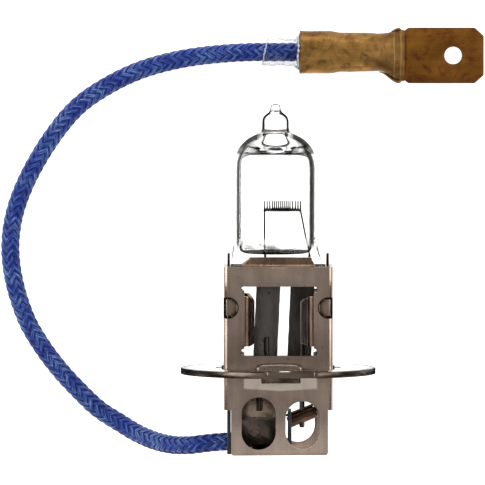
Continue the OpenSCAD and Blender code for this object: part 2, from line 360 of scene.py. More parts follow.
class Nodes:
    """A small helper that adds nodes and links to one material, or to the world."""

    def __init__(self, name, world=False):
        self.owner = bpy.data.worlds.new(name) if world else bpy.data.materials.new(name)
        self.owner.use_nodes = True
        self.tree = self.owner.node_tree
        self.tree.nodes.clear()
        self.out = self.add("OutputWorld" if world else "OutputMaterial")

    def add(self, kind, settings=None, **inputs):
        node = self.tree.nodes.new("ShaderNode" + kind)
        for key, value in (settings or {}).items():
            setattr(node, key, value)
        for key, value in inputs.items():
            self.put(node, key.replace("_", " "), value)
        return node

    def put(self, node, key, value):
        if isinstance(value, bpy.types.NodeSocket):
            self.tree.links.new(value, node.inputs[key])
        else:
            node.inputs[key].default_value = value

    def coords(self, kind="Object"):
        return self.add("TexCoord").outputs[kind]

    def axis(self, vector, letter):
        return self.add("SeparateXYZ", Vector=vector).outputs[letter]

    def facing(self):
        return self.add("LayerWeight", Blend=0.5).outputs["Facing"]

    def backfacing(self):
        return self.add("NewGeometry").outputs["Backfacing"]

    def noise(self, vector, scale, detail=4.0, rough=0.55, distortion=0.0):
        node = self.add("TexNoise", Vector=vector, Scale=scale, Detail=detail, Roughness=rough)
        node.inputs["Distortion"].default_value = distortion
        return node.outputs["Fac"]

    def stretched(self, vector, scale):
        return self.add("Mapping", Vector=vector, Scale=scale).outputs["Vector"]

    def streaks(self, vector, scale, *settings):
        """Noise with its own scale along each axis."""
        return self.noise(self.stretched(vector, scale), 1.0, *settings)

    def ramp(self, fac, stops):
        """A colour ramp; a stop's colour is a red, green and blue, or one number for grey."""
        node = self.add("ValToRGB", Fac=fac)
        elements = node.color_ramp.elements
        while len(elements) < len(stops):
            elements.new(0.5)
        for element, (place, colour) in zip(elements, stops):
            element.position = place
            element.color = (*colour, 1) if isinstance(colour, tuple) else (colour, colour, colour, 1)
        return node.outputs["Color"]

    def levels(self, fac, low, high, out_low=0.0, out_high=1.0):
        node = self.add("MapRange", Value=fac)
        for key, value in (("From Min", low), ("From Max", high), ("To Min", out_low), ("To Max", out_high)):
            node.inputs[key].default_value = value
        return node.outputs["Result"]

    def levels_mm(self, fac, low, high, out_low=0.0, out_high=1.0):
        """Levels of a length, between two given in millimetres."""
        return self.levels(fac, low * MM, high * MM, out_low, out_high)

    def mix(self, fac, a, b, blend="MIX"):
        node = self.add("Mix", {"data_type": "RGBA", "blend_type": blend})
        self.put(node, 0, fac)
        self.put(node, 6, a if isinstance(a, bpy.types.NodeSocket) else (*a, 1))
        self.put(node, 7, b if isinstance(b, bpy.types.NodeSocket) else (*b, 1))
        return node.outputs[2]

    def math(self, operation, *values):
        """The operation on the first two values, then on that and the next one, and so on."""
        result = values[0]
        for value in values[1:]:
            node = self.add("Math", {"operation": operation})
            self.put(node, 0, result)
            self.put(node, 1, value)
            result = node.outputs[0]
        return result

    def times(self, *values):
        return self.math("MULTIPLY", *values)

    def plus(self, *values):
        return self.math("ADD", *values)

    def most(self, *values):
        return self.math("MAXIMUM", *values)

    def apart(self, a, b):
        """How far a is from b."""
        return self.math("ABSOLUTE", self.math("SUBTRACT", a, b), 0.0)

    def swayed(self, value, wave, amount):
        """The value, pushed up and down by a noise."""
        return self.plus(value, self.times(self.math("SUBTRACT", wave, 0.5), amount))

    def bump(self, height, strength, distance, normal=None):
        node = self.add("Bump", Height=height, Strength=strength, Distance=distance)
        if normal is not None:
            self.put(node, "Normal", normal)
        return node.outputs["Normal"]

    def principled(self, **inputs):
        return self.add("BsdfPrincipled", **inputs)

    def blend(self, fac, first, second):
        """A mix of two shaders."""
        node = self.add("MixShader", Fac=fac)
        self.tree.links.new(first.outputs[0], node.inputs[1])
        self.tree.links.new(second.outputs[0], node.inputs[2])
        return node

    def done(self, shader):
        self.tree.links.new(shader.outputs[0], self.out.inputs["Surface"])
        return self.owner


def metal(name, dark, light, rough, patch=300.0, grain=2600.0, stain=None, stretch=(1, 1, 1)):
    """Sheet metal: patches between two tones, fine grain, uneven gloss and shallow dents."""
    m = Nodes(name)
    here = m.stretched(m.coords(), stretch)
    patches = m.noise(here, patch, 5.0, 0.6, 0.4)
    fine = m.noise(here, grain, 3.0)
    tone = m.plus(m.times(patches, 0.75), m.times(fine, 0.25))
    colour = m.ramp(tone, [(0.36, dark), (0.64, light)])
    if stain:
        spots = m.noise(here, patch * 2.3, 6.0, 0.7, 1.2)
        colour = m.mix(m.levels(spots, 0.56, 0.7, 0.0, 0.75), colour, stain)
    gloss = m.levels(m.noise(here, patch * 1.7, 4.0), 0.3, 0.7, *rough)
    normal = m.bump(patches, 0.15, 0.0003, m.bump(fine, 0.15, 0.00002))
    return m.done(m.principled(Base_Color=colour, Roughness=gloss, Metallic=1.0, Normal=normal))


def darkened(m, shader, amount):
    """Mixes a dark gloss into a shader."""
    return m.blend(amount, shader, m.add("BsdfGlossy", Color=(0.012, 0.011, 0.01, 1), Roughness=0.2))


# ---------------------------------------------------------------- camera, floor and light

CAMERA_PLACE = (-4.016, 51.779, 899.21)
CAMERA_TILT = 2.4                 # degrees
TABLE_GLOW = 0.85
TABLE_HALF = 420.0


def add_camera():
    """Nearly straight above the bulb, tilted a little, with a long lens."""
    data = bpy.data.cameras.new("camera")
    data.sensor_width = 36.0
    data.lens = 592.15
    data.clip_start = 0.05
    data.clip_end = 20.0
    camera = linked("camera", data)
    camera.location = [c * MM for c in CAMERA_PLACE]
    camera.rotation_euler = (-math.radians(CAMERA_TILT), 0, 0)
    bpy.context.scene.camera = camera


def add_floor():
    """A white light table, so that the bulb hardly throws a shadow."""
    m = Nodes("table_white")
    colour = m.ramp(m.noise(m.coords(), 30.0, 3.0), [(0.3, 0.86), (0.7, 0.9)])
    shader = m.principled(
        Base_Color=colour, Roughness=0.8, Emission_Color=colour, Emission_Strength=TABLE_GLOW)
    far, z = TABLE_HALF, FLOOR_Z - 0.02
    corners = [(-far, -far, z), (far, -far, z), (far, far, z), (-far, far, z)]
    new_piece("floor", (corners, [(0, 1, 2, 3)]), 40, [m.done(shader)])


def add_area(name, place, size, power):
    """A soft rectangular light, in metres, that points at the bulb."""
    data = bpy.data.lights.new(name, "AREA")
    data.shape = "RECTANGLE"
    data.size, data.size_y = size
    data.energy = power
    light = linked(name, data)
    light.location = place
    light.rotation_euler = (Vector((0, 0.01, 0)) - Vector(place)).to_track_quat("-Z", "Y").to_euler()


def add_world():
    """A studio that is mid grey overhead and dark near the horizon, with a white backdrop."""
    m = Nodes("studio", world=True)
    sky = m.ramp(m.axis(m.coords("Generated"), "Z"), [
        (0.0, (0.05, 0.05, 0.055)), (0.45, (0.12, 0.115, 0.11)), (0.8, (0.4, 0.385, 0.37)),
        (1.0, (0.62, 0.6, 0.58))])
    studio = m.add("Background", Color=sky, Strength=1.0)
    backdrop = m.add("Background", Color=(1, 1, 1, 1), Strength=1.0)
    seen = m.add("LightPath").outputs["Is Camera Ray"]
    bpy.context.scene.world = m.done(m.blend(seen, studio, backdrop))


def add_studio():
    add_camera()
    add_floor()
    add_world()
    add_area("light_left", (-0.75, 0.15, 0.5), (0.5, 0.7), 5.0)
    add_area("light_right", (0.75, 0.2, 0.5), (0.5, 0.7), 4.0)
    add_area("light_top", (0.05, 0.85, 0.45), (0.8, 0.4), 4.0)
    add_area("light_low", (0.0, -0.8, 0.4), (0.8, 0.4), 2.5)
    scene = bpy.context.scene
    scene.view_settings.view_transform = "Standard"
    scene.view_settings.look = "None"
    scene.cycles.transmission_bounces = 16
    scene.cycles.max_bounces = 20
    scene.cycles.caustics_refractive = True


# ---------------------------------------------------------------- braided lead

YARNS = 8                         # each way round the lead
LAY_LENGTH = 7.6                  # of the lead, for one turn of a yarn
BRAID_R = 0.86
BRAID_WAVE = 0.075
YARN_W = 0.6
YARN_T = 0.27
YARN_SIDES = 8
CORE_R = 0.88


def yarn_material():
    """Blue polyester yarn: lighter fibres along it, and painted shade that darkens each yarn towards its two
    side edges, where it meets its neighbours.
    """
    m = Nodes("braid_yarn")
    uv = m.coords("UV")
    fibres = m.streaks(uv, (0.9, 17.0, 1), 3.0, 0.7, 0.15)
    drift = m.noise(m.coords(), 420.0, 2.0)
    blue = m.ramp(fibres, [
        (0.36, (0.002, 0.006, 0.09)), (0.5, (0.007, 0.03, 0.24)), (0.64, (0.075, 0.145, 0.5))])
    pale = m.ramp(fibres, [
        (0.36, (0.004, 0.018, 0.13)), (0.52, (0.034, 0.085, 0.34)), (0.66, (0.28, 0.4, 0.66))])
    colour = m.mix(m.levels(drift, 0.44, 0.6), blue, pale)
    # painted shade: the yarn colour is darkened towards both side edges of each yarn
    edge = m.times(m.apart(m.axis(uv, "Y"), 0.25), 4.0)
    colour = m.mix(m.levels(edge, 0.3, 0.75, 0.0, 0.97), colour, (0.002, 0.006, 0.07))
    return m.done(m.principled(
        Base_Color=colour, Roughness=0.55, Normal=m.bump(fibres, 0.7, 0.0001), Sheen_Weight=0.08,
        Sheen_Roughness=0.4, Specular_IOR_Level=0.18))


def dull(name, scale, detail, dark, light, dents=0.0):
    """A plain dull surface of two mottled tones."""
    m = Nodes(name)
    tone = m.noise(m.coords(), scale, detail)
    colour = m.ramp(tone, [(0.3, dark), (0.7, light)])
    return m.done(m.principled(Base_Color=colour, Roughness=0.6, Normal=m.bump(tone, dents, 0.00005)))


def yarn_rings(frames, step, way, index):
    """Rings of one flat yarn that winds round the lead, over two and under two."""
    rings = []
    section = circle(0, 0, 1, YARN_SIDES)
    for i, (p, t, n, b) in enumerate(frames):
        along = i * step
        lay = 2 * math.pi * (way * along / LAY_LENGTH + index / YARNS)
        radius = BRAID_R + way * BRAID_WAVE * math.cos(0.5 * YARNS * lay)
        angle = lay + math.pi / YARNS
        out = n * math.cos(angle) + b * math.sin(angle)
        around = (b * math.cos(angle) - n * math.sin(angle)) * way
        forward = (t * LAY_LENGTH + around * (2 * math.pi * BRAID_R)).normalized()
        across = out.cross(forward)
        half_w = 0.5 * YARN_W * (1 + 0.08 * lumps(along * 0.9, index * 7.3, way * 3.1))
        half_t = 0.5 * YARN_T
        rings.append([p + out * (radius + half_t * s) + across * (half_w * c) for c, s in section])
    return rings


def set_yarn_uv(mesh, count, step):
    """u runs along each yarn in millimetres, v round it, so that fibre lines follow the yarn."""
    layer = mesh.uv_layers.new(name="UVMap")
    for corner in mesh.loops:
        yarn, rest = divmod(corner.vertex_index, count * YARN_SIDES)
        if yarn < 2 * YARNS:
            ring, k = divmod(rest, YARN_SIDES)
            layer.data[corner.index].uv = (ring * step + yarn * 17.3, abs(k - YARN_SIDES / 2) / YARN_SIDES)


def add_lead():
    """The braided lead: eight yarns each way, woven round a near-black core along the route; the core's dark
    navy is painted shade in the gaps between the yarns.
    """
    path, length = resampled(catmull(ROUTE, 8), LAY_LENGTH / (32))
    step = length / (len(path) - 1)
    frames = frames_along(path)
    yarns = [loft(yarn_rings(frames, step, way, index)) for way in (1, -1) for index in range(YARNS)]
    core = tube(path[::4] + [path[-1]], CORE_R, 16)
    skin = merged(yarns + [core])
    core_faces = len(core[1])
    marks = [0] * (len(skin[1]) - core_faces) + [1] * core_faces
    # painted shade: the core is near-black navy so that the gaps between the yarns look shaded
    core_material = dull("lead_core", 900.0, 3.0, (0.006, 0.01, 0.05), (0.015, 0.025, 0.1))
    lead = new_piece("braided_lead", skin, 60, [yarn_material(), core_material], marks)
    set_yarn_uv(lead.data, len(path), step)
    placed(lead, "cable")
    line = [tuple(c * MM for c in p) for p in catmull(ROUTE, 6)]
    return lead, line, length * MM


# ---------------------------------------------------------------- glass

GLASS_R = 4.8
PINCH_W = 5.1                     # half width and half thickness of the flat pinch
PINCH_T = 1.42
WALL_Y = (14.0, 22.1)             # the straight wall
# radius and height
DOME = [(4.8, 22.4), (4.75, 23.05), (4.56, 23.85), (4.2, 24.62), (3.68, 25.3), (3.02, 25.86), (2.3, 26.24),
        (1.78, 26.5), (1.56, 26.78), (1.5, 27.15), (1.5, 27.6), (1.44, 28.05), (1.2, 28.45), (0.8, 28.75),
        (0.6, 29.05), (0.56, 29.35), (0.45, 29.6), (0.2, 29.7)]
CAVITY = [(0.4, 12.8), (1.6, 12.81), (2.7, 12.84), (3.3, 12.95), (3.62, 13.22), (3.78, 13.7), (3.84, 14.4),
          (3.84, 16.5), (3.84, 19.5), (3.84, 22.4), (3.82, 23.0), (3.7, 23.55), (3.42, 23.95), (2.95, 24.2),
          (2.4, 24.33), (1.8, 24.42), (1.4, 24.66), (1.25, 25.1), (1.05, 25.65), (0.7, 26.05), (0.2, 26.22)]


def quartz_glass(m, here, fade, share):
    """Clear quartz with a faint ripple from blowing, which fades towards the pinch between two heights."""
    normal = m.bump(m.noise(here, 140.0, 2.0), 0.08, 0.0003)
    optics = {"Color": (0.985, 0.985, 0.98, 1), "Roughness": 0.0, "IOR": 1.458, "Normal": normal}
    through = m.add("BsdfRefraction", **optics)
    glass = m.blend(m.levels(m.facing(), 0.2, 0.45), through, m.add("BsdfGlass", **optics))
    clear = m.add("BsdfTransparent", Color=(0.97, 0.97, 0.965, 1))
    return m.blend(m.levels_mm(m.axis(here, "Y"), *fade, 0.0, share), glass, clear)


def quartz_outside():
    """Clear quartz with painted dark bands in place of the dark refraction where the thick wall turns away,
    at the dome's edges, the tip and the pinch shoulders.
    """
    m = Nodes("quartz")
    here = m.coords()
    facing = m.facing()
    streaks = m.streaks(here, (700, 500, 700), 3.0, 0.6, 0.6)
    x, height = m.axis(here, "X"), m.axis(here, "Y")
    off_axis = m.apart(x, GLASS_X * MM)
    drawn = m.swayed(facing, streaks, 0.05)
    narrow = m.ramp(drawn, [(0.46, 0), (0.49, 0.95), (0.575, 0.8), (0.61, 0)])
    wide = m.ramp(drawn, [(0.385, 0), (0.42, 0.8), (0.47, 1), (0.575, 0.85), (0.62, 0)])
    band = m.times(
        m.mix(m.levels_mm(x, -0.5, 0.0), narrow, wide), m.levels_mm(height, 13.3, 14.1),
        m.levels_mm(height, 26.2, 25.2), m.levels_mm(off_axis, 2.4, 3.4, 0.25, 1.0))
    dome = m.times(
        m.levels(m.swayed(facing, streaks, 0.2), 0.46, 0.55, 0.0, 0.95), m.levels_mm(off_axis, 1.3, 2.1),
        m.levels_mm(height, 23.8, 25.1), m.levels_mm(height, 26.6, 26.4))
    bent = m.swayed(facing, streaks, 0.45)
    tip = m.times(m.levels(bent, 0.34, 0.5), m.levels_mm(height, 26.6, 26.8))
    nib = m.times(m.levels(bent, 0.3, 0.42), m.levels_mm(height, 28.7, 28.9))
    rim = m.times(
        m.levels(bent, 0.66, 0.78, 0.0, 0.9), m.levels_mm(height, 14.2, 13.4),
        m.levels_mm(height, 11.6, 11.9))
    # painted shade: the band, dome, tip, nib and shoulder rim masks mix a dark gloss into the glass in place
    # of its dark refraction
    amount = m.times(m.most(band, dome, tip, nib, rim), m.math("SUBTRACT", 1.0, m.backfacing()))
    return m.done(darkened(m, quartz_glass(m, here, (14.6, 13.7), 0.96), amount))


def quartz_inside():
    """The gas space's wall: painted dark bands in place of its dark refraction along its floor, in its lower
    corners, at its neck and roof, with streaky darkening just above the floor.
    """
    m = Nodes("quartz_inside")
    here = m.coords()
    facing = m.facing()
    height = m.axis(here, "Y")
    wave = m.times(m.noise(here, 300.0, 2.0), 0.0003)
    floor = m.levels_mm(m.plus(height, wave), 13.38, 13.26)
    corner = m.times(m.levels(facing, 0.55, 0.68, 0.0, 0.95), m.levels_mm(height, 14.8, 14.1))
    foot = m.times(m.most(floor, corner), 0.97)
    ring = m.ramp(facing, [(0.255, 0), (0.27, 1), (0.37, 1), (0.39, 0)])
    neck = m.times(ring, m.backfacing(), m.levels_mm(height, 23.8, 24.4))
    blots = m.levels(m.streaks(here, (900, 900, 900), 3.0, 0.6, 0.8), 0.42, 0.58, 0.0, 0.55)
    roof = m.times(m.levels_mm(height, 24.27, 24.34), m.levels_mm(height, 24.5, 24.4), blots)
    smears = m.levels(m.streaks(here, (190, 900, 190), 3.0, 0.55, 0.8), 0.56, 0.62)
    smears = m.times(smears, m.levels_mm(height, 14.2, 13.7), 0.7)
    # painted shade: the floor, corner, neck and roof masks mix a dark gloss into the glass in place of its
    # dark refraction
    return m.done(darkened(m, quartz_glass(m, here, (14.8, 13.9), 0.9), m.most(foot, smears, neck, roof)))


def round_ring(a, b, y, count):
    """A ring round the capsule's own axis."""
    return [(x + GLASS_X, y, z) for x, z in superellipse(a, b, 2.0, count)]


def glass_outer_rings(count):
    """The pinch from its foot up, its shoulders, the straight wall, the dome and the tip."""
    rings = []
    levels = [0.9, 0.96, 1.1] + [1.4 + 0.48 * i for i in range(20)] + [11.0 + 0.2 * i for i in range(16)]
    for y in levels:
        end = 0.12 if y < 0.95 else 0.04 if y < 1.0 else 0.0
        blend = smoothstep((y - 10.9) / 3.1)
        a = PINCH_W + (GLASS_R - PINCH_W) * smoothstep((y - 11.6) / 2.2) - end
        b = PINCH_T + (GLASS_R - PINCH_T) * smoothstep((y - 11.5) / 2.5) - end
        x0 = GLASS_X * smoothstep((y - 9.0) / 5.0)
        ring = []
        for x, z in superellipse(a, b, 7.0 - 5.0 * blend, count):
            lump = 0.05 * lumps(x * 0.7, y * 0.55, z * 0.8) * (1 - blend)
            ring.append((x + x0, y, z * (1 + lump)))
        rings.append(ring)
    for i in range(1, 19):
        y = WALL_Y[0] + (WALL_Y[1] - WALL_Y[0]) * i / 18
        rings.append(round_ring(GLASS_R, GLASS_R, y, count))
    for p in catmull([(r, y, 0) for r, y in DOME], 3):
        rings.append(round_ring(p.x, p.x, p.y, count))
    return rings


def cavity_rings(count):
    """The gas space, a little wider across the pinch near its floor."""
    rings = []
    for p in catmull([(r, y, 0) for r, y in CAVITY], 3):
        spread = 1.1 - 0.1 * smoothstep((p.y - 13.2) / 1.6)
        rings.append(round_ring(p.x * spread, p.x, p.y, count))
    return rings


def add_glass():
    count = 96
    outer = flipped(loft(glass_outer_rings(count)))
    inner = loft(cavity_rings(count))
    marks = [0] * len(outer[1]) + [1] * len(inner[1])
    quartz = [quartz_outside(), quartz_inside()]
    glass = new_piece("quartz_capsule", merged([outer, inner]), 180, quartz, marks)
    placed(glass, "glass_envelope")


# ---------------------------------------------------------------- filament, legs and foils

COIL_X = -1.54                    # the first turn
COIL_Y = 18.23
COIL_R = 0.54
COIL_TURNS = 17
TURN_POINTS = 28
WIRE_R = 0.066


def tungsten():
    m = Nodes("tungsten")
    grain = m.noise(m.coords(), 3000.0, 4.0, 0.6)
    colour = m.ramp(grain, [(0.35, (0.006, 0.0055, 0.005)), (0.65, (0.02, 0.018, 0.016))])
    return m.done(m.principled(
        Base_Color=colour, Roughness=m.levels(grain, 0.3, 0.7, 0.5, 0.62), Metallic=0.6,
        Normal=m.bump(grain, 0.2, 0.00001), Specular_IOR_Level=0.2))


def tooth_places():
    """Where along the coil each upright turn stands: closer together in the middle."""
    places = [COIL_X]
    for k in range(COIL_TURNS - 1):
        gap = 0.302 if k < 3 or k > 11 else 0.2195
        places.append(places[-1] + gap)
    return places


def coil_path():
    """Turns that stand upright and step along to the next one underneath."""
    points = []
    teeth = tooth_places()
    for i in range(TURN_POINTS * COIL_TURNS + 1):
        turn = i / TURN_POINTS
        k = min(int(turn), COIL_TURNS - 1)
        part = turn - k
        here = teeth[k]
        before = 0.5 * (teeth[max(k - 1, 0)] + here)
        after = 0.5 * (teeth[min(k + 1, COIL_TURNS - 1)] + here)
        x = before + (here - before) * min(1, part / 0.2)
        x += (after - here) * max(0, (part - 0.8) / 0.2)
        a = 2 * math.pi * turn
        reach = COIL_R * (1 + 0.05 * lumps(k * 2.3, 5.1, 0) * math.sin(math.pi * part))
        depth = reach * math.sin(a)
        x -= 0.02 * (x - GLASS_X) * depth
        points.append(Vector((x, COIL_Y - reach * math.cos(a), depth)))
    return points


def leg_line(foot_x, coil_end):
    """A support leg: upright in the seal, then straight from its knee to the end of the coil."""
    knee = Vector((foot_x - 0.02, 13.1, 0))
    upright = [(foot_x, 10.4, 0), (foot_x, 11.8, 0), (foot_x + 0.04, 12.6, 0), knee]
    return catmull(upright + [knee.lerp(coil_end, 0.1), knee.lerp(coil_end, 0.9), coil_end], 8)


def add_filament():
    material = tungsten()
    path = coil_path()

    def wire(share):
        return WIRE_R * (1 + 0.85 * max(0.0, math.cos(2 * math.pi * COIL_TURNS * share)))

    def taper(share):
        return 0.15 - 0.055 * smoothstep((share - 0.3) / 0.12)

    coil = new_piece("filament_coil", tube(path, wire, 8, (1, 0, 0)), 60, [material])
    placed(coil, "filament")
    for name, foot_x, end in (("left", -1.5, path[0]), ("right", 3.5, path[-1])):
        leg = new_piece("support_leg_" + name, tube(leg_line(foot_x, end), taper, 14), 60, [material])
        placed(leg, "filament_leg_" + name)


def foil_material(name, shade):
    """Dull foil in the seal: a paler band down the left foil is a painted highlight, and a shade below 1
    makes a darker copy of the foil, which is painted shade.
    """
    m = Nodes(name)
    here = m.coords()
    blotch = m.streaks(here, (420, 160, 420), 5.0, 0.62, 0.6)
    dark = tuple(c * shade for c in (0.062, 0.056, 0.052))
    light = tuple(c * shade for c in (0.15, 0.138, 0.13))
    across = m.axis(here, "X")
    # painted highlight: a paler band down the left foil
    pale = m.times(m.levels_mm(across, -2.2, -1.2), m.levels_mm(across, -0.4, -1.1), 0.5)
    colour = m.mix(pale, m.ramp(blotch, [(0.34, dark), (0.66, light)]), (0.2, 0.185, 0.175))
    normal = m.bump(blotch, 0.3, 0.0002)
    return m.done(m.principled(Base_Color=colour, Roughness=0.42, Metallic=1.0, Normal=normal))


# x, y and radius
BUBBLES = {"left": [(-0.95, 8.3, 0.16), (-1.6, 3.1, 0.2), (-1.9, 2.6, 0.12)], "right": [(3.2, 2.9, 0.15)]}


def foil_height(x, y, seed, bubbles):
    """Height of the foil: creases across it and the odd bubble in the seal."""
    height = 0.06 * lumps(x * 0.9 + seed, y * 0.35, 3.0)
    height += 0.015 * lumps(x * 4.0, y * 2.2 + seed, 9.0)
    for bx, by, radius in bubbles:
        near = math.hypot(x - bx, y - by) / radius
        height += 0.09 * max(0.0, 1 - near * near)
    return height


def foil_surface(centre, seed, bubbles):
    """A long strip with uneven edges, leaning a little."""
    def surface(u, v):
        y = 1.15 + 10.05 * u
        half = 1.35 + 0.04 * lumps(y * 0.8, seed, 0)
        x = centre + half * (2 * v - 1) + 0.045 * (y - 8.5)
        return x, y, foil_height(x, y, seed, bubbles)
    return surface


def add_foils():
    # painted shade: the right foil is the same foil at 0.62 of its colour
    for name, centre, seed, shade in (("left", -1.12, 2.0, 1.0), ("right", 2.72, 8.0, 0.62)):
        material = foil_material("foil_metal_" + name, shade)
        skin = thick_sheet(foil_surface(centre, seed, BUBBLES[name]), 90, 30, 0.06)
        placed(new_piece("seal_foil_" + name, skin, 60, [material]), "foil_" + name)


def add_lead_wires():
    material = metal("lead_wire", (0.045, 0.042, 0.04), (0.14, 0.13, 0.12), (0.3, 0.5), 500.0, 3000.0)
    left = [(-1.3, 3.4, 0), (-1.3, 2, 0), (-1.3, 0.8, 0), (-2.1, -1.6, 0), (-2.1, -3, 0), (-2.1, -5.2, 0)]
    right = [(2.7, 3.4, 0), (2.7, -1.0, 0), (2.7, -4.0, 0), (2.7, -6.8, 0)]

    def radius(share):
        return 0.3 if 0.02 < share < 0.98 else 0.24

    for name, route in (("left", left), ("right", right)):
        wire = new_piece("outer_lead_" + name, tube(catmull(route, 8), radius, 18), 50, [material])
        placed(wire, "lead_wire_" + name)


# ---------------------------------------------------------------- pressed metal

HALF_D = 4.3                      # half the base's depth
SHEET = 0.4
BENT = 0.34                       # the flaps are a little thinner, so they stay clear of the walls
THROUGH = (3, 6)                  # every cut through a plate runs between these heights
MOON = (5.66, 6.9)                # middle of a half-round cut-out on the bend


def channel_outline(width, wall_to):
    """Section of a folded channel in X and Z: a plate at the top and a wall down each side."""
    half = width / 2
    outer = arc(half - 0.55, HALF_D - 0.55, 0.55, 90, 0, 9)
    inner = arc(half - SHEET - 0.2, HALF_D - SHEET - 0.2, 0.2, 0, 90, 5)
    right = outer + [(half, wall_to), (half - SHEET, wall_to)] + inner
    return right + [(-x, z) for x, z in reversed(right)]


def shell_solid(width, wall_to, front, shift):
    """One shell of the base: the channel, its tongue and everything that is cut through it."""
    body = prism(channel_outline(width, wall_to), -4.6, 11.5, "Y")
    tongue = [(-5.3, -4.5), (-5.3, -9.5), (-5.1, -9.72), (5.4, -9.66), (5.6, -9.45), (5.6, -4.5)]
    combined(body, [prism(tongue, HALF_D - SHEET, HALF_D)], "UNION")
    cuts = [block(-3.8, 4.0, 1.5 if front else 1.1, 9.3, *THROUGH)]
    cuts += [disc(0.1 + side * 3.9, 5.4 + end * 3.5, 0.42, *THROUGH) for side in (-1, 1) for end in (-1, 1)]
    for x, y, height in ((-2.2, -6.1, 5.9), (2.75, -6.3, 5.4)):
        cuts.append(oval(x + shift[0], y + shift[1], 3.85, height, *THROUGH))
    if front:
        cuts.append(block(-1.9, 2.5, -1.6, -0.75, *THROUGH))
        cuts += [disc(side * MOON[0], MOON[1], 1.22, 2.2, 6) for side in (-1, 1)]
    return combined(body, cuts, "DIFFERENCE")


def side_flap(side):
    """A flap bent down from the window's edge to the pinch, with a round upper corner."""
    reach = 0.46 if side < 0 else 0.86
    line = arc(0, 3.5, 0.6, 90, 14, 8)
    bend_x, bend_z = line[-1]
    line += [(bend_x + reach * k / 5, bend_z - 1.9 * k / 5) for k in range(1, 6)]
    last = len(line) - 1

    def surface(u, v):
        i = min(int(u * last), last - 1)
        t = u * last - i
        x = line[i][0] * (1 - t) + line[i + 1][0] * t
        z = line[i][1] * (1 - t) + line[i + 1][1] * t
        round_off = 0.95 * max(0.0, u - 0.3) ** 2.2 * 1.7
        low, high = 2.55 + 0.3 * round_off, 8.2 - round_off
        along = v if side < 0 else 1 - v
        return 0.1 + side * (3.95 - x), low + (high - low) * along, z

    return thick_sheet(surface, last, 30, BENT)


def top_flap(reach):
    """The flap at the plate's top edge: narrower towards the glass, leaning in a little."""
    def surface(u, v):
        z = 4.1 - 0.12 * smoothstep(u / 0.3) - 0.5 * u
        half = 4.1 - 0.62 * smoothstep((u - 0.15) / 0.85)
        x = -0.02 + 0.3 * u + half * (1 - 2 * v)
        return x, 11.3 + reach * u, z + 0.08 * math.cos(math.pi * (v - 0.5))
    return thick_sheet(surface, 16, 40, BENT)


def bridge_bead():
    """The raised bead above the slot, which stops the flange."""
    levels = [(2.66, 0.68, 3.95), (2.64, 0.67, 4.3), (2.6, 0.64, 4.55), (2.56, 0.6, 4.78), (2.48, 0.54, 4.92),
              (2.34, 0.44, 4.99), (2.15, 0.3, 5.0), (1.95, 0.2, 4.96), (1.7, 0.1, 4.95)]
    return loft([[(0.12 + x, 0.04 + y, z) for x, y in superellipse(a, b, 3.4, 72)] for a, b, z in levels])


def moon_pieces(name, edge, painted_shadow_metal):
    """Inside each half-round cut-out: a cut edge in the shadow metal, which is painted shade, and a flat
    tongue.
    """
    tongue_metal = metal(
        "tongue_metal", (0.14, 0.1, 0.075), (0.36, 0.28, 0.22), (0.25, 0.4), 500.0, stretch=(1.5, 0.3, 1))
    pieces = []
    for side in (-1, 1):
        x, y = side * MOON[0], MOON[1]
        outer_half = block(*sorted((side * 5.3, side * 8)), 5, 9, 2, 6)
        ring = combined(disc(x, y, 1.24, 3.1, 4.22), [disc(x, y, 1.1, 2, 6), outer_half], "DIFFERENCE")
        pieces.append(finished(ring, name + "_moon", 0.01, painted_shadow_metal, painted_shadow_metal))
        tongue = block(*sorted((side * 4.7, side * 5.84)), 5.95, 7.85, 3.2, 3.45)
        pieces.append(finished(tongue, name + "_tongue", 0.04, tongue_metal, edge))
    return pieces


def ear_pieces(name, painted_shadow_metal, shaded_flap_metal):
    """The small upright ears at the top corners, in the shadow metal with darker edges in the flaps' metal:
    painted shade.
    """
    ears = [block(x - 0.15, x + 0.15, 11.0, 12.9, -1.2, 1.2) for x in (-5.58, 5.58)]
    return [finished(ear, name + "_ear", 0.05, painted_shadow_metal, shaded_flap_metal) for ear in ears]


def shade_recesses(plate, painted_shadow_metal):
    """The cut edges down in the half-round openings get the shadow metal, painted shade, as they face each
    other.
    """
    plate.data.materials.append(painted_shadow_metal)
    last = len(plate.data.materials) - 1
    for face in plate.data.polygons:
        x, _, z = face.center / MM
        if abs(x) > 5.2 and 0.5 < z < 3.6 and face.normal.z > 0.3:
            face.material_index = last


def shell_piece(name, width, wall_to, shift, front, body, metals):
    """A whole shell: its plate, flaps and bead, with the front one's moons or the rear one's ears."""
    edge, shaded_flap_metal, painted_shadow_metal = metals
    plate = finished(shell_solid(width, wall_to, front, shift), name, 0.07, body, edge, not front)
    flaps = merged([side_flap(-1), side_flap(1), top_flap(1.25 if front else 0.85)])
    bead = bridge_bead()
    if not front:
        flaps, bead = mirrored(flaps), mirrored(bead)
    bent = soften_rims(new_piece(name + "_bent", flaps, 38, [shaded_flap_metal, edge]), 0.05)
    pieces = [plate, bent, new_piece(name + "_bead", bead, 50, [body])]
    pieces += moon_pieces(name, edge, painted_shadow_metal) if front else ear_pieces(name, painted_shadow_metal, shaded_flap_metal)
    shade_recesses(plate, painted_shadow_metal)
    return joined(pieces, name)


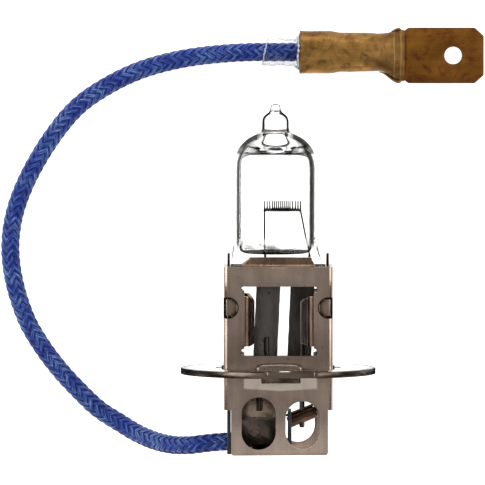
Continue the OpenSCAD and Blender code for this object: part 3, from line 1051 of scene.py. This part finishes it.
def nickel_material(name, painted_light_patch):
    """Satin nickel over steel: dark round the window, lighter towards the foot; painted_light_patch adds a
    painted highlight, a bright patch below the flange.
    """
    m = Nodes(name)
    here = m.coords()
    patches = m.noise(here, 130.0, 5.0, 0.6, 0.5)
    fine = m.noise(here, 2600.0, 3.0)
    tone = m.plus(m.times(patches, 0.6), m.times(m.streaks(here, (900, 60, 900), 4.0, 0.6), 0.4))
    colour = m.ramp(tone, [(0.36, (0.235, 0.184, 0.152)), (0.64, (0.37, 0.3, 0.255))])
    x, y = m.axis(here, "X"), m.axis(here, "Y")
    level = m.ramp(m.levels_mm(y, -9.7, 11.5), [
        (0.0, 1), (0.1, 0.84), (0.2, (0.56, 0.555, 0.55)), (0.36, (0.62, 0.61, 0.6)),
        (0.5, (0.4, 0.385, 0.37)), (0.68, (0.5, 0.49, 0.48)), (1.0, (0.56, 0.55, 0.54))])
    colour = m.mix(1.0, colour, level, "MULTIPLY")
    colour = m.mix(1.0, colour, (1.8, 1.8, 1.8), "MULTIPLY")
    # painted highlight: a lighter patch on the plate below the flange
    if painted_light_patch:
        side = m.apart(x, 0.25 * MM)
        foot = m.plus(y, m.times(side, -0.06))
        inside = m.times(
            m.levels_mm(side, 4.2, 4.0), m.levels_mm(foot, -2.5, -2.35), m.levels_mm(y, 0.0, -0.1))
        colour = m.mix(inside, colour, (0.66, 0.58, 0.5))
    pits = m.times(m.levels(m.noise(here, 1500.0, 2.0), 0.68, 0.76), 0.35)
    colour = m.mix(pits, colour, (0.08, 0.06, 0.045))
    gloss = m.levels(m.noise(here, 240.0, 4.0), 0.3, 0.7, 0.2, 0.32)
    normal = m.bump(patches, 0.15, 0.0003, m.bump(fine, 0.12, 0.00002))
    return m.done(m.principled(Base_Color=colour, Roughness=gloss, Metallic=1.0, Normal=normal))


def flange_rim_material():
    """The flange's cut rim: tan at the front, with a painted dark reflection that grows towards the sides,
    where the rim turns away.
    """
    m = Nodes("flange_rim")
    here = m.coords()
    patches = m.streaks(here, (260, 1400, 260), 4.0, 0.65, 0.5)
    # painted reflection: darker with distance from the middle, with a dark gloss mixed in towards the sides
    tone = m.swayed(m.times(m.apart(m.axis(here, "X"), 0.0), 70.0), patches, 1.1)
    colour = m.ramp(tone, [
        (0.1, (0.17, 0.13, 0.1)), (0.3, (0.12, 0.09, 0.07)), (0.5, (0.06, 0.045, 0.035)),
        (0.7, (0.016, 0.013, 0.01))])
    rim = m.principled(Base_Color=colour, Roughness=0.3, Metallic=1.0)
    return m.done(darkened(m, rim, m.levels(tone, 0.45, 0.72)))


def flange_face_material():
    """The flange's bright faces, with a dull ring near the rim."""
    m = Nodes("flange_face")
    here = m.coords()
    far = m.add("VectorMath", {"operation": "LENGTH"}, Vector=here).outputs["Value"]
    patches = m.streaks(here, (200, 200, 600), 4.0, 0.6, 0.4)
    reach = m.swayed(far, patches, 1.2 * MM)
    colour = m.ramp(patches, [(0.35, (0.76, 0.75, 0.73)), (0.65, (0.92, 0.91, 0.9))])
    colour = m.mix(m.levels_mm(reach, 9.9, 10.8, 0.0, 0.8), colour, (0.22, 0.19, 0.17))
    normal = m.bump(m.noise(here, 2600.0, 3.0), 0.05, 0.00002)
    gloss = m.levels(patches, 0.3, 0.7, 0.08, 0.14)
    face = m.principled(Base_Color=colour, Roughness=gloss, Metallic=1.0, Normal=normal)
    return m.done(darkened(m, face, m.levels_mm(reach, 9.6, 11.0, 0.03, 0.5)))


def flange_solid():
    """The locating flange: a disc with the base's opening, the bridges' recesses and the keying notch."""
    cuts = [
        block(-6.32, 6.32, -4.42, 4.42, -2, 2, "Y"), block(-2.55, 2.95, -5.12, 5.12, -2, 2, "Y"),
        block(-7.02, 7.0, -0.9, 0.9, -2, 2, "Y")]
    notch = [(-1.45, 12), (-1.45, 10.1)] + arc(-1.05, 9.9, 0.4, 180, 270, 6)
    notch += arc(3.85, 9.9, 0.4, 270, 360, 6) + [(4.25, 12)]
    cuts.append(prism(notch, -2, 2, "Y"))
    return combined(prism(circle(0, 0, 11, 144), -0.7, 0, "Y"), cuts, "DIFFERENCE")


def add_pressed_metal():
    # the rounded edges get a lighter metal: partly the cut edges' own tan, partly painted highlight
    edge = metal("nickel_edge", (0.34, 0.27, 0.205), (0.62, 0.52, 0.42), (0.2, 0.3))
    # painted shade: the flaps, bent from the same nickel sheet, and the ears' edges get this much darker copy
    # of the nickel
    shaded_flap_metal = metal("nickel_flap_painted_shade", (0.045, 0.026, 0.016), (0.17, 0.11, 0.075), (0.2, 0.32), stretch=(1, 0.3, 1))
    # painted shade: a near-black copy of the nickel for the cut edges in the moons, the ears and the clips'
    # rounded edges
    painted_shadow_metal = metal("shadow_metal", (0.012, 0.009, 0.007), (0.03, 0.022, 0.017), (0.5, 0.6))
    spring = metal("spring_strip", (0.4, 0.31, 0.23), (0.62, 0.5, 0.38), (0.25, 0.4))
    metals = (edge, shaded_flap_metal, painted_shadow_metal)
    plain, inner = nickel_material("nickel_plate", True), nickel_material("nickel_inner", False)
    front = shell_piece("front_plate", 12.3, -4.3, (0, 0), True, plain, metals)
    placed(front, "front_shell")
    rear = shell_piece("rear_plate", 11.46, -3.35, (-0.5, 0.3), False, inner, metals)
    placed(rear, "rear_shell")
    for side in ("left", "right"):
        clip = softened("clip_" + side, "pinch_clip_" + side, 0.04, spring, painted_shadow_metal)
        clip.data.transform(Matrix.Scale(0.93, 4, (0, 1, 0)))
        placed(clip, "pinch_clip_" + side)
    flange = finished(flange_solid(), "flange_disc", 0.06, flange_face_material(), flange_rim_material())
    for face in flange.data.polygons:
        if abs(face.normal.y) < 0.9:
            face.material_index = 1
    placed(flange, "flange_ring")


# ---------------------------------------------------------------- inside the base

def strip_surface(u, v):
    """A strip rolled up round the lead wire, open along the front, leaning to the right."""
    angle = math.radians(40 + 350 * v)
    radius = 0.62 + 0.16 * v + 0.03 * lumps(u * 3, v * 5, 0.5)
    along = (2 * u - 1) * (1.62 + 0.12 * math.sin(angle))
    across, up = radius * math.cos(angle), radius * math.sin(angle)
    lean = math.radians(22)
    x = 2.7 + along * math.cos(lean) - across * math.sin(lean)
    y = -5.5 + along * math.sin(lean) + across * math.cos(lean)
    return x, y, up


def add_rolled_strip():
    brown = metal("rolled_metal", (0.022, 0.012, 0.008), (0.1, 0.06, 0.04), (0.24, 0.4), 420.0)
    # the rounded rims get a lighter metal: partly the cut edges' own colour, partly painted highlight
    edge = metal("rolled_edge", (0.1, 0.065, 0.045), (0.34, 0.26, 0.2), (0.24, 0.34), 500.0)
    skin = thick_sheet(strip_surface, 24, 60, 0.2)
    roll = soften_rims(new_piece("rolled_strip", skin, 40, [brown, edge]), 0.035)
    tail = finished(block(3.7, 5.2, -5.1, -4.5, -0.65, -0.35), "strip_tail", 0.04, brown, edge)
    foot = finished(block(5.01, 5.31, -4.6, -2.2, -1, 1), "strip_foot", 0.04, brown, edge)
    placed(joined([roll, tail, foot], "rolled_strip"), "ground_strip")


def add_strap():
    """The live terminal: a slotted tan end, a step and a dark plate with a weld dimple, over the crimp."""
    stain = (0.1, 0.06, 0.04)
    tan = metal("strap_tan", (0.24, 0.18, 0.14), (0.46, 0.37, 0.3), (0.22, 0.34), 420.0, stain=stain)
    dark = metal("strap_dark", (0.09, 0.07, 0.06), (0.2, 0.165, 0.145), (0.24, 0.36))
    # the rounded edges get a lighter metal: partly the cut edges' own colour, partly painted highlight
    edge = metal("strap_edge", (0.4, 0.34, 0.28), (0.62, 0.54, 0.46), (0.24, 0.34))
    shade = metal("strap_shadow", (0.012, 0.009, 0.008), (0.04, 0.03, 0.025), (0.4, 0.5))
    strap = softened("live_strap", "live_terminal", 0.06, dark, edge)
    strap.data.materials.append(tan)
    for face in strap.data.polygons:
        if face.center.y > -5.5 * MM and face.material_index == 0:
            face.material_index = 2
    levels = ((0.52, 1.48), (0.48, 1.54), (0.4, 1.58), (0.3, 1.57), (0.24, 1.5), (0.1, 1.47))
    rings = [[(x, y, z) for x, y in circle(-2.7, -7.4, radius, 40)] for radius, z in levels]
    dimple = new_piece("dimple", loft(rings), 50, [tan])
    # painted shade: a dark block behind the slot, where the base shows only shadow
    shadow_block = finished(block(-3.1, -1.1, -5.4, -3.3, -0.8, -0.5), "strap_shadow_block", 0.04, shade, shade)
    placed(joined([strap, dimple, shadow_block], "live_strap"), "live_terminal")


def add_base_inside():
    card = dull("black_card", 500.0, 4.0, (0.006, 0.007, 0.01), (0.02, 0.022, 0.03), 0.3)
    placed(softened("insulator", "insulator_liner", 0.06, card, card), "insulator_liner")
    add_strap()
    add_rolled_strip()


# ---------------------------------------------------------------- crimped tab and sleeve

TAB_TOP = [
    # x, half width, half height, height of the middle, share of a full wrap
    (2.5, 2.32, 1.86, -9.08, 0.98), (3.2, 2.26, 1.84, -9.1, 0.98), (4.6, 2.24, 1.82, -9.1, 0.98),
    (6.1, 2.24, 1.82, -9.12, 0.98), (7.1, 2.1, 1.74, -9.2, 0.98), (8.6, 2.06, 1.7, -9.26, 0.98),
    (10.2, 2.02, 1.62, -9.32, 0.98), (11.4, 1.96, 1.4, -9.48, 0.94), (12.4, 2.12, 1.05, -9.75, 0.74),
    (13.4, 2.55, 0.66, -10.08, 0.54), (14.5, 2.8, 0.2, -10.44, 0.47),
]
BLADE_Y = 35.0                    # the blade's middle line


def tab_row(x):
    """The section's numbers at x, on a smooth curve through the listed ones."""
    last = len(TAB_TOP) - 1
    i = 0
    while i < last - 1 and x > TAB_TOP[i + 1][0]:
        i += 1
    b, c = TAB_TOP[i], TAB_TOP[i + 1]
    a, d = TAB_TOP[max(i - 1, 0)], TAB_TOP[min(i + 2, last)]
    h = c[0] - b[0]
    t = (x - b[0]) / h
    row = []
    for k in range(len(b)):
        slope_b = (c[k] - a[k]) / (c[0] - a[0]) * h
        slope_c = (d[k] - b[k]) / (d[0] - b[0]) * h
        row.append((2 * t ** 3 - 3 * t * t + 1) * b[k] + (t ** 3 - 2 * t * t + t) * slope_b
                   + (3 * t * t - 2 * t ** 3) * c[k] + (t ** 3 - t * t) * slope_c)
    return row


def crimp_surface(u, v):
    """The barrels' sheet, from the mouth to the blade: closed underneath, then opening flat."""
    x = 2.5 + 11.9 * u
    if u == 0:
        x += 0.14 * lumps(0, v * 14, 5)
    _, half_w, half_h, middle, wrap = tab_row(x)
    angle = math.pi * wrap * (2 * v - 1)
    s, c = math.sin(angle), math.cos(angle)
    y = half_w * math.copysign(abs(s) ** 0.78, s)
    z = half_h * math.copysign(abs(c) ** 0.78, c)
    flat = 0.05 * lumps(x * 0.8, v * 6, 1.5) + 0.02 * lumps(x * 3, v * 17, 4.5)
    seam = -0.16 * max(0.0, c) * math.exp(-((x - 4.6) / 1.1) ** 2) * max(0.0, math.cos(2.2 * s))
    shift = LEAD_END[0] - 0.4 * smoothstep((x - 11.5) / 2.5)
    return x, shift + y * (1 + flat * 0.4), middle + z * (1 + flat) + seam * 0.6


def tab_ear(side):
    """A folded ear where the barrel's wall opens out to the blade."""
    def surface(u, v):
        x = 11.5 + 2.6 * u
        rise = smoothstep(u / 0.8) * (1 - smoothstep((u - 0.88) / 0.12) * 0.35)
        root = 1.86 + 0.85 * smoothstep((x - 11.6) / 2.4)
        y = root + (0.42 * rise) * v
        z = -9.72 - 0.55 * smoothstep(u) + 0.28 * v * rise
        return x, BLADE_Y + side * y, z
    skin = thick_sheet(surface, 24, 6, 0.22)
    return flipped(skin) if side < 0 else skin


def blade_solid():
    outline = [(14.1, 32.45), (14.9, 31.83), (22.45, 31.83), (23.48, 32.75), (23.48, 37.25), (22.45, 38.17),
               (14.9, 38.17), (14.1, 37.55)]
    return combined(prism(outline, FLOOR_Z, -10.2), [disc(20.0, BLADE_Y, 1.0, -12, -9)], "DIFFERENCE")


def tab_material(name, dark, light, stain, stain_at, fade=0.0):
    """Tarnished brass: brown patches, reddish stains and rolling lines, painted shade that darkens it towards
    the neck, and painted highlight lines along two creases across the strip.
    """
    m = Nodes(name)
    here = m.coords()
    patches = m.noise(here, 240.0, 6.0, 0.65, 0.6)
    lines = m.streaks(here, (110, 1500, 900), 4.0, 0.6)
    tone = m.plus(m.times(patches, 0.65), m.times(lines, 0.35))
    colour = m.ramp(tone, [(0.34, dark), (0.66, light)])
    spots = m.noise(here, 420.0, 6.0, 0.7, 1.4)
    colour = m.mix(m.levels(spots, stain_at, stain_at + 0.16, 0.0, 0.8), colour, stain)
    along = m.axis(here, "X")
    # painted shade: darker towards the concave neck, in the stain colour
    colour = m.mix(m.levels_mm(along, 9.5, 12.2, 0.0, fade), colour, stain)
    wandering = m.plus(along, m.times(m.noise(here, 300.0, 2.0), 0.4 * MM))
    # painted highlight: a lighter line along each of the two creases
    for lit_crease in (13.45, 14.2):
        line = m.levels_mm(m.apart(wandering, lit_crease * MM), 0.1, 0.03, 0.0, 0.3)
        colour = m.mix(line, colour, (0.5, 0.34, 0.15))
    gloss = m.levels(m.noise(here, 500.0, 4.0), 0.3, 0.7, 0.46, 0.6)
    normal = m.bump(patches, 0.2, 0.0002, m.bump(lines, 0.12, 0.00004))
    return m.done(m.principled(Base_Color=colour, Roughness=gloss, Metallic=1.0, Normal=normal))


def add_tab():
    brass = tab_material(
        "tab_barrel", (0.15, 0.072, 0.018), (0.46, 0.255, 0.075), (0.1, 0.05, 0.018), 0.48, 0.5)
    worn = tab_material("tab_blade", (0.13, 0.05, 0.01), (0.25, 0.11, 0.02), (0.11, 0.026, 0.01), 0.5)
    edge = metal("tab_edge", (0.05, 0.025, 0.01), (0.14, 0.075, 0.03), (0.3, 0.45))
    # the barrels' rounded rims get a much lighter brass: partly the cut edges' own colour, partly painted
    # highlight
    cut_edge = metal("tab_cut_edge", (0.6, 0.45, 0.25), (0.85, 0.7, 0.45), (0.25, 0.35))
    skin = thick_sheet(crimp_surface, 110, 96, 0.34)
    barrel = soften_rims(new_piece("crimp_barrels", skin, 40, [brass, cut_edge]), 0.05)
    pieces = [finished(blade_solid(), "tab_blade", 0.09, worn, edge), barrel]
    for side in (-1, 1):
        pieces.append(soften_rims(new_piece("ear", tab_ear(side), 40, [brass, cut_edge]), 0.04))
    return placed(joined(pieces, "crimp_tab"), "tab_terminal")


def film_material():
    """Clear heat-shrink film, a little hazy, whiter where it is seen edge-on."""
    m = Nodes("sleeve_film")
    creases = m.streaks(m.coords(), (700, 1600, 1600), 5.0, 0.65, 1.2)
    normal = m.bump(creases, 0.8, 0.0001)
    clear = m.add("BsdfTransparent", Color=(0.95, 0.955, 0.96, 1))
    film = m.principled(
        Base_Color=(0.62, 0.64, 0.66, 1), Roughness=0.22, Normal=normal, Specular_IOR_Level=0.5)
    haze = m.times(m.levels(creases, 0.5, 0.72), 0.16)
    return m.done(m.blend(m.plus(m.levels(m.facing(), 0.5, 0.95, 0.0, 0.6), haze), clear, film))


def sleeve_surface(u, v):
    """Crumpled tube of film round the lead's end, torn at both ends."""
    angle = 2 * math.pi * v
    c, s = math.cos(angle), math.sin(angle)
    ragged = lumps(c * 2.3, s * 2.3, 7)
    fine = lumps(c * 6, s * 6, 2)
    start = -1.5 + 0.1 * ragged + 0.08 * fine + 0.3 * c
    end = 3.1 + 0.2 * ragged
    x = start + (end - start) * u
    radius = 1.5 + 0.09 * lumps(x * 0.9, c * 1.6, s * 1.6) + 0.05 * lumps(x * 3, c * 5, s * 5)
    mouth = smoothstep((u - 0.7) / 0.12) * (1 - smoothstep((u - 0.86) / 0.05))
    radius += 0.38 * mouth * (1 + 0.8 * fine)
    return x, LEAD_END[0] + radius * c, LEAD_END[1] + radius * s


def add_sleeve():
    """The film, thicker at its cut end and where it bulges at the tab's mouth; those thick rims are a whitish
    metal, a painted highlight.
    """
    sleeve = new_piece("film_sleeve", thick_sheet(sleeve_surface, 60, 120, 0.07), 60, [film_material()])
    # painted highlight: the film's thick rims are a whitish metal in place of the light their edges catch
    lip_highlight = metal("film_lip_highlight", (0.42, 0.43, 0.5), (0.66, 0.67, 0.72), (0.4, 0.5), 900.0)
    for name, u, radius in (("film_lip_highlight", 0.0, 0.075), ("film_mouth", 0.835, 0.13)):
        ring = [Vector(sleeve_surface(u, k / 90)) for k in range(91)]
        sleeve = joined([sleeve, new_piece(name, tube(ring, radius, 8), 60, [lip_highlight])], "film_sleeve")
    return placed(sleeve, "clear_sleeve")


def add_conductor(name, node, x0, x1, y, z, radius):
    """Bare strands, twisted a little: one in the middle, six round it and twelve outside."""
    copper = metal(name + "_copper", (0.45, 0.2, 0.1), (0.75, 0.4, 0.22), (0.3, 0.45), 500.0, 3000.0)
    strand = radius * 0.24
    strands = []
    for count, share, first in ((1, 0, 0), (6, 0.62, 0), (12, 1.0, 0.5)):
        reach = (radius - strand) * share
        for k in range(count):
            line = []
            for i in range(15):
                x = x0 + (x1 - x0) * i / 14
                angle = 2 * math.pi * (k + first) / count + 0.5 * (x - x0)
                line.append(Vector((x, y + reach * math.cos(angle), z + reach * math.sin(angle))))
            strands.append(tube(line, strand, 8))
    return placed(new_piece(name, merged(strands), 60, [copper]), node)


# ---------------------------------------------------------------- build

add_studio()
lead, lead_line, lead_length = add_lead()
tab = add_tab()
sleeve = add_sleeve()
strands_tab = add_conductor("strands_tab", "conductor_end_tab", 4.6, 9.2, *LEAD_END, 0.65)
add_conductor("strands_base", "conductor_end_base", -3.4, -0.7, -8.4, 0.0, 0.5)
add_glass()
add_filament()
add_foils()
add_lead_wires()
add_pressed_metal()
add_base_inside()
